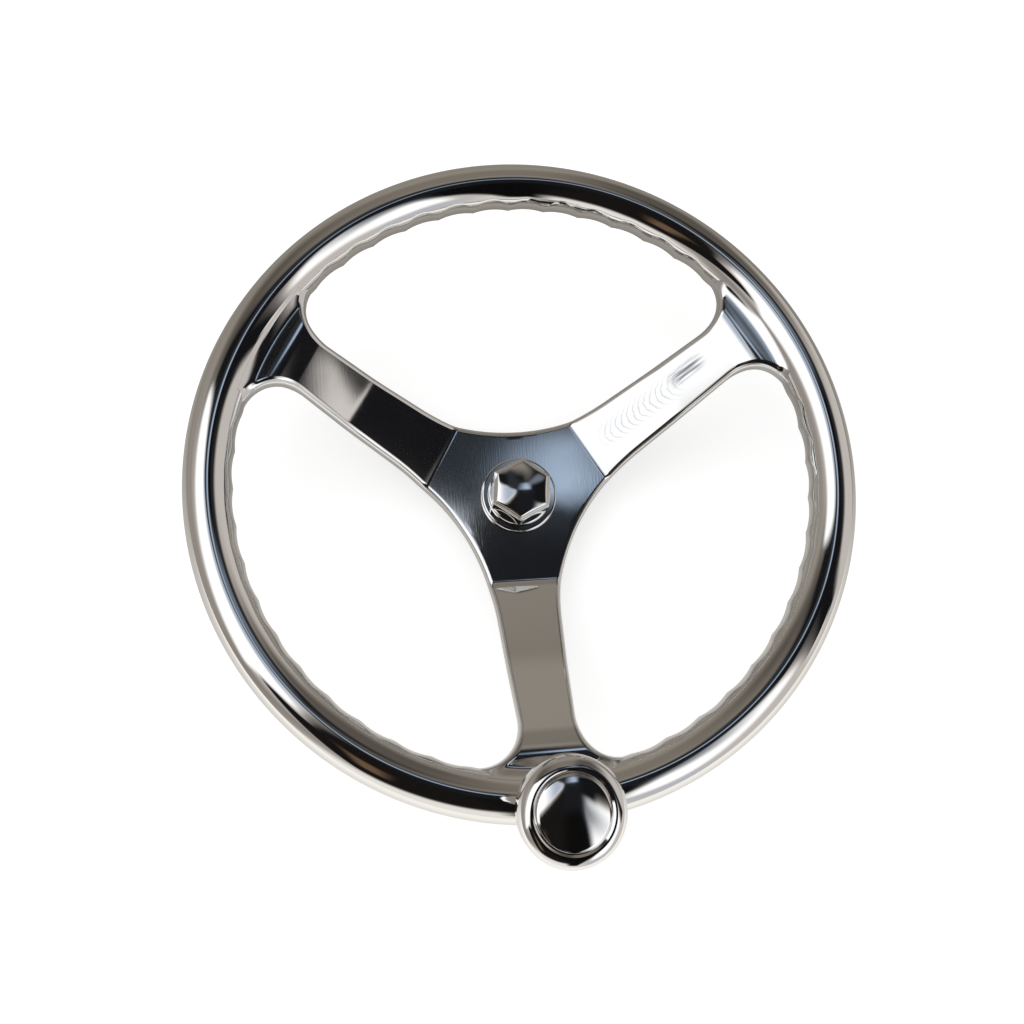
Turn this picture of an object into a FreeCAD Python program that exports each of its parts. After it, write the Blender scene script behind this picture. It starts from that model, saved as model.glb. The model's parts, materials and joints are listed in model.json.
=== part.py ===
import FreeCAD, Part
import math
import os

# Boat steering wheel in polished stainless steel, with a ball-bearing spinner knob on its rim.
# Millimetres. The origin is the centre of the hub's rear face, where the helm shaft enters.
# +Z runs along the shaft towards the helmsman, and the knob's spoke points along -Y.

# Rim: one bent and closed tube with finger grips pressed into its back and inside
rim_outer_diameter = 343.0
grip_diameter = 24.0
rim_wall = 2.5
dish = 79.0
finger_pitch = 20.7
finger_land = 2.0
finger_depth = 1.2
finger_reach_angle = 75.0
finger_lean_angle = 45.0
fingers_per_gap = 12
finger_tool_height = 3.0

# Cast centre: hub plate, three folded spokes and a tapered shaft boss
spoke_count = 3
plate_thickness = 9.0
hub_length = 24.0
boss_diameter = 46.0
boss_root_radius = 4.0
boss_edge_radius = 1.5
web_waist = 38.2
web_arc_radius = 118.0
neck_half_width = 14.3
flare_radius = 20.0
flare_bite = 0.6
lower_bend_at = 50.0
upper_bend_at = 133.0
lower_bend_radius = 8.0
upper_bend_radius = 15.0
slope_sag = 4.1
slope_sag_at = 95.0
slope_sag_radius = 100.0
spoke_edge_radius = 3.0
saddle_blend_radius = 9.0
saddle_blend_inset = 1.2

# Helm shaft: 3/4 inch with a 1 in 12 taper, a key and a threaded end
shaft_diameter = 19.05
taper_ratio = 12.0
pilot_bore_diameter = 17.5
key_width = 4.76
key_depth = 2.4
shaft_thread_diameter = 12.7

# Hub nut and its washer
washer_diameter = 42.8
washer_thickness = 3.2
washer_bore_clearance = 0.4
washer_edge = 1.2
nut_across_flats = 31.0
nut_collar_diameter = 35.6
nut_collar_height = 2.6
nut_height = 16.6
nut_bevel = 3.0
nut_dome_radius = 110.0
nut_turn_angle = -6.0
nut_socket_depth = 11.0
nut_socket_chamfer = 1.0
drill_point_angle = 118.0

# Knob post, screwed into a boss that is welded through the front of the rim
weld_boss_diameter = 14.0
weld_boss_stand = 1.5
post_thread_diameter = 9.53
post_thread_length = 15.0
collar_foot_radius = 9.5
collar_top_radius = 11.4
collar_height = 4.5
collar_edge = 0.8
collar_web = 2.6
post_flange_radius = 8.0
post_flange_height = 3.0
bearing_step = 0.5
locating_clearance = 0.05

# Ball bearings, two alike: 8 x 22 x 7
bearing_bore = 8.0
bearing_outer = 22.0
bearing_width = 7.0
ball_diameter = 3.97
ball_count = 7
race_conformity = 1.04
inner_shoulder_radius = 6.05
outer_shoulder_radius = 8.95
shield_seat_radius = 9.7
shield_seat_depth = 0.9
shield_thickness = 0.3
shield_gap = 0.25
cage_radial_gap = 0.4
cage_rise = 0.9
cage_drop = 2.2
pocket_clearance = 0.12
ring_edge_radius = 0.3
bearing_spacing = 12.0
spacer_wall = 1.4

# Post nut and washer above the upper bearing
post_washer_diameter = 14.0
post_washer_thickness = 1.4
post_washer_relief = 0.5
post_nut_across_flats = 13.0
post_nut_height = 4.5
post_end_stand = 1.2

# Knob shell, turned from bar
shell_belt_radius = 23.5
shell_neck_radius = 13.2
shell_floor_gap = 0.7
neck_bend_rise = 6.8
belt_bend_rise = 22.8
neck_bend_radius = 18.0
belt_bend_radius = 20.0
shell_height = 40.7
shoulder_radius = 6.0
crown_radius = 18.2
crown_drop = 1.0
foot_edge_radius = 1.0
clip_groove_width = 1.2
clip_groove_depth = 0.5
clip_gap_below = 0.05
shell_counterbore_radius = 14.5
shell_counterbore_gap = 0.9

# Lip seal in the shell's floor
seal_width = 1.5
seal_waist = 0.5
seal_running_clearance = 0.08
seal_margin = 0.3

# Spring clip that holds the outer rings in the shell
clip_thickness = 1.0
clip_depth_play = 0.1
clip_width = 2.0
clip_opening_angle = 46.0
clip_ear_radius = 1.5
clip_ear_hole_radius = 0.6

# Domed cap on the knob, held by an o-ring on its spigot
cap_radius = 16.0
cap_edge_height = 3.0
cap_stand = 1.3
cap_dome_rise = 1.6
cap_roof = 1.6
cap_edge_round = 0.5
spigot_length = 4.5
spigot_wall = 1.8
cap_side_clearance = 0.05
o_ring_section = 1.5
o_ring_squeeze = 0.15
o_ring_rise = 1.2
o_ring_corner = 0.4

# Levels and radii that follow from the sizes above
grip_radius = grip_diameter / 2
rim_radius = rim_outer_diameter / 2 - grip_radius
rim_inside = rim_radius - grip_radius
cavity_radius = grip_radius - rim_wall
plate_front = hub_length
knob_x = 0.0
knob_y = -rim_radius
rim_front = dish + grip_radius
collar_top = rim_front + collar_height
bearing_floor = collar_top + post_flange_height
lower_bearing_middle = bearing_floor + bearing_width / 2
upper_bearing_floor = bearing_floor + bearing_width + bearing_spacing
upper_bearing_middle = upper_bearing_floor + bearing_width / 2
bearing_top = upper_bearing_floor + bearing_width
shell_bottom = collar_top + shell_floor_gap
shell_top = shell_bottom + shell_height
cap_seat = shell_top + cap_stand - cap_edge_height - crown_drop
pitch_radius = (bearing_bore + bearing_outer) / 4

V = FreeCAD.Vector
Z_AXIS = V(0, 0, 1)
ORIGIN = V(0, 0, 0)
OVERSHOOT = 1.0
TOLERANCE = 1e-4


def rounded_wire(corners):
    """Closed wire in the XZ plane; each corner is (x, z, radius), rounded by a tangent arc."""
    places = [V(x, 0, z) for x, z, radius in corners]
    starts, mids, ends = [], [], []
    for index, (x, z, radius) in enumerate(corners):
        here = places[index]
        back = (places[index - 1] - here).normalize()
        ahead = (places[(index + 1) % len(places)] - here).normalize()
        half = back.getAngle(ahead) / 2
        reach = radius / math.tan(half)
        bisector = (back + ahead).normalize() if radius else V(0, 0, 0)
        starts.append(here + back * reach)
        mids.append(here + bisector * (radius / math.sin(half) - radius))
        ends.append(here + ahead * reach)
    edges = []
    for index, (x, z, radius) in enumerate(corners):
        if radius:
            edges.append(Part.Arc(starts[index], mids[index], ends[index]).toShape())
        following = starts[(index + 1) % len(starts)]
        if ends[index].distanceToPoint(following) > TOLERANCE:
            edges.append(Part.LineSegment(ends[index], following).toShape())
    return Part.Wire(edges)


def turned(corners):
    """Solid turned about the Z axis from a half section of (radius, height, corner radius)."""
    solid = Part.Face(rounded_wire(corners)).revolve(ORIGIN, Z_AXIS, 360)
    return solid if solid.Volume > 0 else solid.reversed()


def sharp(points):
    """The same points as corners with no rounding."""
    return [(x, z, 0) for x, z in points]


def rod(radius, low, high, x=0.0, y=0.0):
    return Part.makeCylinder(radius, high - low, V(x, y, low))


def tube(inner, outer, low, high):
    return rod(outer, low, high).cut(rod(inner, low - OVERSHOOT, high + OVERSHOOT))


def hexagon_bar(across_flats, low, high):
    """Hexagonal bar with two of its flats facing +X and -X."""
    corner_radius = across_flats / math.sqrt(3)
    angles = [math.radians(30 + 60 * k) for k in range(6)]
    ring = [V(corner_radius * math.cos(a), corner_radius * math.sin(a), low) for a in angles]
    return Part.Face(Part.makePolygon(ring + ring[:1])).extrude(V(0, 0, high - low))


def at_knob(shape):
    """Moves a piece that was turned about the Z axis to the knob's axis."""
    return shape.translated(V(knob_x, knob_y, 0))


def rim_torus(radius):
    return Part.makeTorus(rim_radius, radius, V(0, 0, dish))


def finger_tool(angle):
    """Ring that presses one finger grip, deepest at the back and inside of the tube.

    Its half section is a shallow arc, turned about an axis along the tube. That axis lies
    off the tube's centre, away from the grip, so the dent fades out round the tube."""
    out = V(math.cos(angle), math.sin(angle), 0)
    along = V(-math.sin(angle), math.cos(angle), 0)
    lean = math.radians(finger_lean_angle)
    deepest = out * -math.cos(lean) - Z_AXIS * math.sin(lean)
    shift = finger_depth / (1 - math.cos(math.radians(finger_reach_angle)))
    pivot = out * rim_radius + V(0, 0, dish) - deepest * shift
    half_width = (finger_pitch - finger_land) / 2
    skin = grip_radius + shift

    def point(sideways, distance):
        return pivot + along * sideways + deepest * distance

    left, right = point(-half_width, skin), point(half_width, skin)
    left_top = point(-half_width, skin + finger_tool_height)
    right_top = point(half_width, skin + finger_tool_height)
    section = Part.Wire([
        Part.Arc(left, point(0, skin - finger_depth), right).toShape(),
        Part.LineSegment(right, right_top).toShape(),
        Part.LineSegment(right_top, left_top).toShape(),
        Part.LineSegment(left_top, left).toShape(),
    ])
    return Part.Face(section).revolve(pivot, along, 360)


def finger_angles():
    """Places of the finger grips: one even group in the middle of each gap between spokes."""
    step = finger_pitch / rim_radius
    for gap in range(spoke_count):
        middle = math.radians(-90 + (gap + 0.5) * 360 / spoke_count)
        for finger in range(fingers_per_gap):
            yield middle + (finger - (fingers_per_gap - 1) / 2) * step


def make_rim():
    rim = rim_torus(grip_radius).cut([finger_tool(angle) for angle in finger_angles()])
    hole = rod(weld_boss_diameter / 2, dish, rim_front + OVERSHOOT, knob_x, knob_y)
    return rim.cut(rim_torus(cavity_radius)).cut(hole)


def spoke_band():
    """One spoke and its share of the hub plate, seen from the side: flat, up a slope, flat.

    The slope sags below a straight line. Both faces are lines with tangent arcs, a plate's
    thickness apart, drawn along +X."""
    end_front = dish + plate_thickness / 2
    steepness = (end_front - plate_front) / (upper_bend_at - lower_bend_at)
    sag_front = plate_front + steepness * (slope_sag_at - lower_bend_at) - slope_sag
    front = [
        V(0, 0, plate_front),
        V(lower_bend_at, 0, plate_front),
        V(slope_sag_at, 0, sag_front),
        V(upper_bend_at, 0, end_front),
        V(rim_radius, 0, end_front),
    ]
    ways = [(after - before).normalize() for before, after in zip(front, front[1:])]
    square = [V(way.z, 0, -way.x) * plate_thickness for way in ways]
    back = [front[0] + square[0]]
    for here, before, after in zip(front[1:], square, square[1:]):
        back.append(here + (before + after) / (1 + before.dot(after) / plate_thickness ** 2))
    back.append(front[-1] + square[-1])
    front_radii = [0, lower_bend_radius, slope_sag_radius, upper_bend_radius + plate_thickness, 0]
    back_radii = [0, lower_bend_radius + plate_thickness, slope_sag_radius + plate_thickness,
                  upper_bend_radius, 0]
    corners = [(place.x, place.z, radius) for place, radius in zip(front, front_radii)]
    corners += [(place.x, place.z, radius) for place, radius in zip(back[::-1], back_radii[::-1])]
    side_view = Part.Face(rounded_wire(corners)).translated(V(0, -rim_radius, 0))
    return side_view.extrude(V(0, 2 * rim_radius, 0))


def spoke_plan(inset):
    """Plan of one spoke with its third of the hub plate, along +X, as a face at height 0.

    Each side is a wide arc from the waist between two spokes, a straight line and a flare
    that runs out along the inside of the rim. The inset narrows the plan on both sides."""
    web_radius = web_arc_radius + inset
    flare = flare_radius + inset
    ring = rim_inside + flare_bite
    half_gap = math.pi / spoke_count
    web_distance = web_waist + web_arc_radius
    web_centre = V(web_distance * math.cos(half_gap), web_distance * math.sin(half_gap), 0)
    flare_y = neck_half_width + flare_radius
    flare_centre = V(math.sqrt((ring - flare_radius) ** 2 - flare_y ** 2), flare_y, 0)
    span = web_centre - flare_centre
    lean = math.atan2(span.y, span.x) - math.acos((web_radius - flare) / span.Length)
    side = V(math.cos(lean), math.sin(lean), 0)
    if side.y < 0:
        lean = math.atan2(span.y, span.x) + math.acos((web_radius - flare) / span.Length)
        side = V(math.cos(lean), math.sin(lean), 0)
    waist = web_centre * ((web_distance - web_radius) / web_distance)
    web_end = web_centre - side * web_radius
    flare_start = flare_centre - side * flare
    flare_way = V(flare_centre.x, flare_centre.y, 0).normalize()
    flare_end = flare_centre + flare_way * flare
    tip = flare_way * rim_radius

    def arc_middle(centre, start, end):
        middle = (start - centre) + (end - centre)
        return centre + middle.normalize() * start.distanceToPoint(centre)

    def mirrored(place):
        return V(place.x, -place.y, 0)

    upper = [
        (waist, arc_middle(web_centre, waist, web_end), web_end),
        (web_end, None, flare_start),
        (flare_start, arc_middle(flare_centre, flare_start, flare_end), flare_end),
        (flare_end, None, tip),
    ]
    edges = [Part.LineSegment(ORIGIN, waist).toShape()]
    for start, middle, end in upper:
        edges.append(plan_edge(start, middle, end))
    edges.append(Part.Arc(tip, V(rim_radius, 0, 0), mirrored(tip)).toShape())
    for start, middle, end in reversed(upper):
        edges.append(plan_edge(mirrored(end), mirrored(middle) if middle else None, mirrored(start)))
    edges.append(Part.LineSegment(mirrored(waist), ORIGIN).toShape())
    return Part.Face(Part.Wire(edges))


def plan_edge(start, middle, end):
    if middle is None:
        return Part.LineSegment(start, end).toShape()
    return Part.Arc(start, middle, end).toShape()


def saddle_blend(side):
    """Ring that blends one face of the spoke's end into the rim's tube.

    Its section lies between the face, the tube and an arc tangent to both."""
    face = side * plate_thickness / 2
    reach = grip_radius + saddle_blend_radius
    centre_z = face + side * saddle_blend_radius
    centre_x = rim_radius - math.sqrt(reach ** 2 - centre_z ** 2)
    centre = V(centre_x, 0, dish + centre_z)
    tube_centre = V(rim_radius, 0, dish)
    foot = V(centre_x, 0, dish + face)
    touch = centre + (tube_centre - centre).normalize() * saddle_blend_radius
    middle = centre + ((foot - centre) + (touch - centre)).normalize() * saddle_blend_radius
    sunk = V(centre_x, 0, dish + face - side * spoke_edge_radius)
    deep = V(rim_radius - grip_radius / 2, 0, dish + face - side * spoke_edge_radius)
    inside = V(rim_radius - grip_radius / 2, 0, touch.z)
    section = Part.Wire([
        Part.Arc(foot, middle, touch).toShape(),
        Part.LineSegment(touch, inside).toShape(),
        Part.LineSegment(inside, deep).toShape(),
        Part.LineSegment(deep, sunk).toShape(),
        Part.LineSegment(sunk, foot).toShape(),
    ])
    sector = 360 / spoke_count
    start = Part.Face(section).rotated(ORIGIN, Z_AXIS, -sector / 2)
    return start.revolve(ORIGIN, Z_AXIS, sector)


def spoke_edges(solid, inset_plan):
    """Edges between the faces and the side walls of a spoke, left and right, front and back."""
    found = []
    for edge in solid.Edges:
        middle = edge.valueAt((edge.FirstParameter + edge.LastParameter) / 2)
        flat = V(middle.x, middle.y, 0)
        beyond_rim = flat.Length > rim_inside + flare_bite + spoke_edge_radius
        on_joint = abs(abs(math.atan2(middle.y, middle.x)) - math.pi / spoke_count) < TOLERANCE
        upright = len(edge.Vertexes) == 2 and edge.Vertexes[0].Point.sub(
            edge.Vertexes[1].Point).cross(Z_AXIS).Length < TOLERANCE
        inner = inset_plan.isInside(flat, TOLERANCE, True)
        if not (beyond_rim or on_joint or upright or inner):
            found.append(edge)
    return found


def make_spoke():
    """One third of the casting along +X: plan and side view crossed, its long edges rounded."""
    room = 2 * dish
    plan = spoke_plan(0).extrude(V(0, 0, room)).translated(V(0, 0, -dish / 2))
    body = spoke_band().common(plan)
    body = body.makeFillet(spoke_edge_radius, spoke_edges(body, spoke_plan(spoke_edge_radius / 2)))
    narrow = spoke_plan(saddle_blend_inset).extrude(V(0, 0, room)).translated(V(0, 0, -dish / 2))
    for side in (1, -1):
        body = body.fuse(saddle_blend(side).common(narrow))
    return body.cut(rim_torus(grip_radius))


def make_spider():
    """The casting: three spokes, the shaft boss with its blended root, the taper and keyway."""
    spoke = make_spoke().rotated(ORIGIN, Z_AXIS, -90)
    thirds = [spoke.rotated(ORIGIN, Z_AXIS, k * 360 / spoke_count) for k in range(spoke_count)]
    casting = thirds[0].fuse(thirds[1:])
    boss_radius = boss_diameter / 2
    root_end = boss_radius + 2 * boss_root_radius
    plate_back = plate_front - plate_thickness
    boss = turned([
        (0, 0, 0),
        (boss_radius, 0, boss_edge_radius),
        (boss_radius, plate_back, boss_root_radius),
        (root_end, plate_back, 0),
        (root_end, plate_back + OVERSHOOT, 0),
        (0, plate_back + OVERSHOOT, 0),
    ])
    casting = casting.fuse(boss).removeSplitter()
    taper_depth = (shaft_diameter - pilot_bore_diameter) * taper_ratio
    taper = Part.makeCone(shaft_diameter / 2, pilot_bore_diameter / 2, taper_depth)
    pilot = rod(pilot_bore_diameter / 2, 0, hub_length)
    key = Part.makeBox(key_width, shaft_diameter / 2 + key_depth, hub_length,
                       V(-key_width / 2, 0, 0))
    return casting.cut(taper.fuse(pilot)).cut(key)


def make_hub_washer():
    radius = washer_diameter / 2
    bore = shaft_thread_diameter / 2 + washer_bore_clearance
    top = plate_front + washer_thickness
    return turned([
        (bore, plate_front, 0),
        (radius, plate_front, 0),
        (radius, top, washer_edge),
        (bore, top, 0),
    ])


def make_hub_nut():
    """Closed nut: round collar, hexagon with bevelled upper edges and a low dome, blind socket."""
    base = plate_front + washer_thickness
    top = base + nut_height
    bar = hexagon_bar(nut_across_flats, base, top)
    upper = [edge for edge in bar.Edges if edge.BoundBox.ZMin > top - OVERSHOOT]
    dome = Part.makeSphere(nut_dome_radius, V(0, 0, top - nut_dome_radius))
    bar = bar.makeChamfer(nut_bevel, upper).common(dome)
    bar = bar.rotated(ORIGIN, Z_AXIS, nut_turn_angle)
    collar_radius = nut_collar_diameter / 2
    collar_top_height = base + nut_collar_height
    collar = turned([
        (0, base, 0),
        (collar_radius, base, 0),
        (collar_radius, collar_top_height, washer_edge),
        (0, collar_top_height, 0),
    ])
    socket_radius = shaft_thread_diameter / 2
    drill_point = socket_radius / math.tan(math.radians(drill_point_angle / 2))
    socket = turned(sharp([
        (0, base),
        (socket_radius + nut_socket_chamfer, base),
        (socket_radius, base + nut_socket_chamfer),
        (socket_radius, base + nut_socket_depth),
        (0, base + nut_socket_depth + drill_point),
    ]))
    return bar.fuse(collar).removeSplitter().cut(socket)


def make_weld_boss():
    """Turned boss through the rim's front wall, down to the far side of the tube."""
    radius = weld_boss_diameter / 2
    top = rim_front + weld_boss_stand
    inner = rod(radius, dish - grip_radius, top, knob_x, knob_y).common(rim_torus(cavity_radius))
    outer = rod(radius, dish, top, knob_x, knob_y)
    thread = rod(post_thread_diameter / 2, top - post_thread_length, top, knob_x, knob_y)
    return inner.fuse(outer).removeSplitter().cut(thread)


def make_base_collar():
    """Collar under the post's flange: bored over the weld boss and saddled to the tube."""
    start = dish + math.sqrt(grip_radius ** 2 - collar_foot_radius ** 2) - OVERSHOOT
    boss_bore = weld_boss_diameter / 2 + locating_clearance
    boss_top = collar_top - collar_web
    post_bore = post_thread_diameter / 2 + locating_clearance
    collar = turned([
        (boss_bore, start, 0),
        (collar_foot_radius, start, 0),
        (collar_top_radius, collar_top, collar_edge),
        (post_bore, collar_top, 0),
        (post_bore, boss_top, 0),
        (boss_bore, boss_top, 0),
    ])
    return at_knob(collar).cut(rim_torus(grip_radius))


def make_post():
    """Post: thread into the weld boss, flange on the collar, bearing journal, nut thread."""
    thread_radius = post_thread_diameter / 2
    journal = bearing_bore / 2
    thread_end = rim_front + weld_boss_stand - post_thread_length
    top = bearing_top + post_washer_thickness + post_nut_height + post_end_stand
    return at_knob(turned([
        (0, thread_end, 0),
        (thread_radius, thread_end, ring_edge_radius),
        (thread_radius, collar_top, 0),
        (post_flange_radius, collar_top, 0),
        (post_flange_radius, bearing_floor - bearing_step, 0),
        (inner_shoulder_radius, bearing_floor - bearing_step, 0),
        (inner_shoulder_radius, bearing_floor, 0),
        (journal, bearing_floor, 0),
        (journal, top, ring_edge_radius),
        (0, top, 0),
    ]))


def groove(middle):
    """Ring that cuts a ball groove into either bearing ring."""
    return Part.makeTorus(pitch_radius, ball_diameter / 2 * race_conformity, V(0, 0, middle))


def bearing_inner_ring(middle):
    low, high = middle - bearing_width / 2, middle + bearing_width / 2
    bore = bearing_bore / 2
    ring = turned([
        (bore, low, ring_edge_radius),
        (inner_shoulder_radius, low, 0),
        (inner_shoulder_radius, high, 0),
        (bore, high, ring_edge_radius),
    ])
    return ring.cut(groove(middle))


def bearing_outer_ring(middle):
    low, high = middle - bearing_width / 2, middle + bearing_width / 2
    outer = bearing_outer / 2
    ring = turned([
        (shield_seat_radius, low, 0),
        (outer, low, ring_edge_radius),
        (outer, high, ring_edge_radius),
        (shield_seat_radius, high, 0),
        (shield_seat_radius, high - shield_seat_depth, 0),
        (outer_shoulder_radius, high - shield_seat_depth, 0),
        (outer_shoulder_radius, low + shield_seat_depth, 0),
        (shield_seat_radius, low + shield_seat_depth, 0),
    ])
    return ring.cut(groove(middle))


def ball_places(middle):
    for k in range(ball_count):
        angle = 2 * math.pi * k / ball_count
        yield V(pitch_radius * math.cos(angle), pitch_radius * math.sin(angle), middle)


def bearing_balls(middle):
    radius = ball_diameter / 2
    return Part.makeCompound([Part.makeSphere(radius, place) for place in ball_places(middle)])


def bearing_cage(middle):
    """Crown cage: a ring with a round pocket for each ball, open upwards."""
    inner = inner_shoulder_radius + cage_radial_gap
    outer = outer_shoulder_radius - cage_radial_gap
    ring = tube(inner, outer, middle - cage_drop, middle + cage_rise)
    pocket = ball_diameter / 2 + pocket_clearance
    return ring.cut([Part.makeSphere(pocket, place) for place in ball_places(middle)])


def bearing_shields(middle):
    """The two shields of one bearing, pressed into the seats of its outer ring."""
    inner = inner_shoulder_radius + shield_gap
    seat = bearing_width / 2 - shield_seat_depth
    upper = tube(inner, shield_seat_radius, middle + seat, middle + seat + shield_thickness)
    lower = tube(inner, shield_seat_radius, middle - seat - shield_thickness, middle - seat)
    return Part.makeCompound([upper, lower])


def bearing_pieces(name, middle):
    return {
        name + "_bearing_inner_ring": at_knob(bearing_inner_ring(middle)),
        name + "_bearing_outer_ring": at_knob(bearing_outer_ring(middle)),
        name + "_bearing_balls": at_knob(bearing_balls(middle)),
        name + "_bearing_cage": at_knob(bearing_cage(middle)),
        name + "_bearing_shields": at_knob(bearing_shields(middle)),
    }


def make_inner_spacer():
    inner = bearing_bore / 2
    low = bearing_floor + bearing_width
    return at_knob(tube(inner, inner + spacer_wall, low, upper_bearing_floor))


def make_outer_spacer():
    outer = bearing_outer / 2
    low = bearing_floor + bearing_width
    return at_knob(tube(outer - spacer_wall, outer, low, upper_bearing_floor))


def make_post_washer():
    """Washer that presses on the inner ring alone: its outer part is relieved below."""
    outer = post_washer_diameter / 2
    washer = tube(bearing_bore / 2, outer, bearing_top, bearing_top + post_washer_thickness)
    relief = tube(inner_shoulder_radius, outer + OVERSHOOT, bearing_top - OVERSHOOT,
                  bearing_top + post_washer_relief)
    return at_knob(washer.cut(relief))


def make_post_nut():
    """Thin nut, its corners turned off by a cone above and below."""
    low = bearing_top + post_washer_thickness
    high = low + post_nut_height
    flat_radius = post_nut_across_flats / 2
    corner_radius = post_nut_across_flats / math.sqrt(3)
    drop = (corner_radius - flat_radius) / 2
    limit = turned(sharp([
        (0, low),
        (flat_radius, low),
        (corner_radius, low + drop),
        (corner_radius, high - drop),
        (flat_radius, high),
        (0, high),
    ]))
    bore = rod(bearing_bore / 2, low - OVERSHOOT, high + OVERSHOOT)
    return at_knob(hexagon_bar(post_nut_across_flats, low, high).common(limit).cut(bore))


def clip_levels():
    low = bearing_top + clip_gap_below
    return low, low + clip_groove_width


def make_knob_shell():
    """Shell: neck that swells to a belt, rounded shoulder, bearing bore, clip groove, cap seat."""
    bore = bearing_outer / 2
    lip = post_flange_radius + seal_running_clearance + seal_width
    clip_low, clip_high = clip_levels()
    counterbore_floor = clip_high + shell_counterbore_gap
    seat_radius = cap_radius + cap_side_clearance
    return at_knob(turned([
        (lip, shell_bottom, 0),
        (shell_neck_radius, shell_bottom, foot_edge_radius),
        (shell_neck_radius, shell_bottom + neck_bend_rise, neck_bend_radius),
        (shell_belt_radius, shell_bottom + belt_bend_rise, belt_bend_radius),
        (shell_belt_radius, shell_top, shoulder_radius),
        (crown_radius, shell_top, 0),
        (seat_radius, shell_top - crown_drop, 0),
        (seat_radius, cap_seat, 0),
        (shell_counterbore_radius, cap_seat, 0),
        (shell_counterbore_radius, counterbore_floor, 0),
        (bore, counterbore_floor, 0),
        (bore, clip_high, 0),
        (bore + clip_groove_depth, clip_high, 0),
        (bore + clip_groove_depth, clip_low, 0),
        (bore, clip_low, 0),
        (bore, bearing_floor, 0),
        (lip, bearing_floor, 0),
    ]))


def make_knob_seal():
    """Lip seal pressed into the shell's floor, running round the post's flange."""
    inner = post_flange_radius + seal_running_clearance
    outer = inner + seal_width
    low = shell_bottom + seal_margin
    high = bearing_floor - seal_margin
    waist = (low + high) / 2
    return at_knob(turned(sharp([
        (inner, low),
        (outer, low),
        (outer, high),
        (inner, high),
        (inner + seal_waist, waist),
    ])))


def make_spring_clip():
    """Internal spring clip: an open ring in the shell's groove, with an ear at each end."""
    clip_low, clip_high = clip_levels()
    low = clip_low + clip_depth_play
    high = low + clip_thickness
    outer = bearing_outer / 2 + clip_groove_depth - clip_depth_play
    inner = outer - clip_width
    ring = tube(inner, outer, low, high)
    half = math.radians(clip_opening_angle / 2)
    far = 2 * outer
    wedge = Part.Face(Part.makePolygon([
        V(0, 0, low - OVERSHOOT),
        V(far * math.cos(half), far * math.sin(half), low - OVERSHOOT),
        V(far, 0, low - OVERSHOOT),
        V(far * math.cos(half), -far * math.sin(half), low - OVERSHOOT),
        V(0, 0, low - OVERSHOOT),
    ])).extrude(V(0, 0, clip_thickness + 2 * OVERSHOOT))
    ring = ring.cut(wedge)
    ear_distance = outer - clip_ear_radius - clip_depth_play - clip_groove_depth
    for side in (1, -1):
        x, y = ear_distance * math.cos(half), side * ear_distance * math.sin(half)
        ring = ring.fuse(rod(clip_ear_radius, low, high, x, y))
    for side in (1, -1):
        x, y = ear_distance * math.cos(half), side * ear_distance * math.sin(half)
        ring = ring.cut(rod(clip_ear_hole_radius, low - OVERSHOOT, high + OVERSHOOT, x, y))
    return at_knob(ring.removeSplitter())


def spigot_radius():
    return shell_counterbore_radius - cap_side_clearance


def o_ring_level():
    return cap_seat - spigot_length + o_ring_rise + o_ring_section / 2


def make_knob_cap():
    """Domed cap: round edge, hollow spigot with a groove for the o-ring."""
    edge_top = cap_seat + cap_edge_height
    outer = spigot_radius()
    inner = outer - spigot_wall
    low = cap_seat - spigot_length
    groove_floor = outer - (o_ring_section - o_ring_squeeze) + cap_side_clearance
    groove_low = o_ring_level() - o_ring_section / 2
    groove_high = o_ring_level() + o_ring_section / 2
    section = turned([
        (0, cap_seat + cap_dome_rise, 0),
        (inner, cap_seat + cap_edge_height - cap_roof, 0),
        (inner, low, 0),
        (outer, low, 0),
        (outer, groove_low, 0),
        (groove_floor, groove_low, 0),
        (groove_floor, groove_high, 0),
        (outer, groove_high, 0),
        (outer, cap_seat, 0),
        (cap_radius, cap_seat, 0),
        (cap_radius, edge_top, cap_edge_round),
        (0, edge_top, 0),
    ])
    sphere_radius = (cap_radius ** 2 + cap_dome_rise ** 2) / (2 * cap_dome_rise)
    centre = V(0, 0, edge_top + cap_dome_rise - sphere_radius)
    half_space = rod(cap_radius - cap_edge_round, edge_top, edge_top + 2 * cap_dome_rise)
    dome = Part.makeSphere(sphere_radius, centre).common(half_space)
    return at_knob(section.fuse(dome).removeSplitter())


def make_cap_o_ring():
    """O-ring round the cap's spigot, drawn squeezed flat between groove and shell."""
    outer = shell_counterbore_radius
    inner = spigot_radius() - (o_ring_section - o_ring_squeeze) + cap_side_clearance
    half = o_ring_section / 2
    level = o_ring_level()
    return at_knob(turned([
        (inner, level - half, o_ring_corner),
        (outer, level - half, o_ring_corner),
        (outer, level + half, o_ring_corner),
        (inner, level + half, o_ring_corner),
    ]))


def make_all():
    pieces = {
        "rim": make_rim(),
        "spoke_casting": make_spider(),
        "hub_washer": make_hub_washer(),
        "hub_nut": make_hub_nut(),
        "knob_weld_boss": make_weld_boss(),
        "knob_base_collar": make_base_collar(),
        "knob_post": make_post(),
        "inner_spacer": make_inner_spacer(),
        "outer_spacer": make_outer_spacer(),
        "post_washer": make_post_washer(),
        "post_nut": make_post_nut(),
        "knob_shell": make_knob_shell(),
        "knob_seal": make_knob_seal(),
        "spring_clip": make_spring_clip(),
        "knob_cap": make_knob_cap(),
        "cap_o_ring": make_cap_o_ring(),
    }
    pieces.update(bearing_pieces("lower", lower_bearing_middle))
    pieces.update(bearing_pieces("upper", upper_bearing_middle))
    return pieces


os.makedirs("parts", exist_ok=True)
for node, shape in make_all().items():
    shape.exportStep("parts/" + node + ".step")
    print(node, "solids", len(shape.Solids), "volume", round(shape.Volume, 1), shape.isValid())
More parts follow.
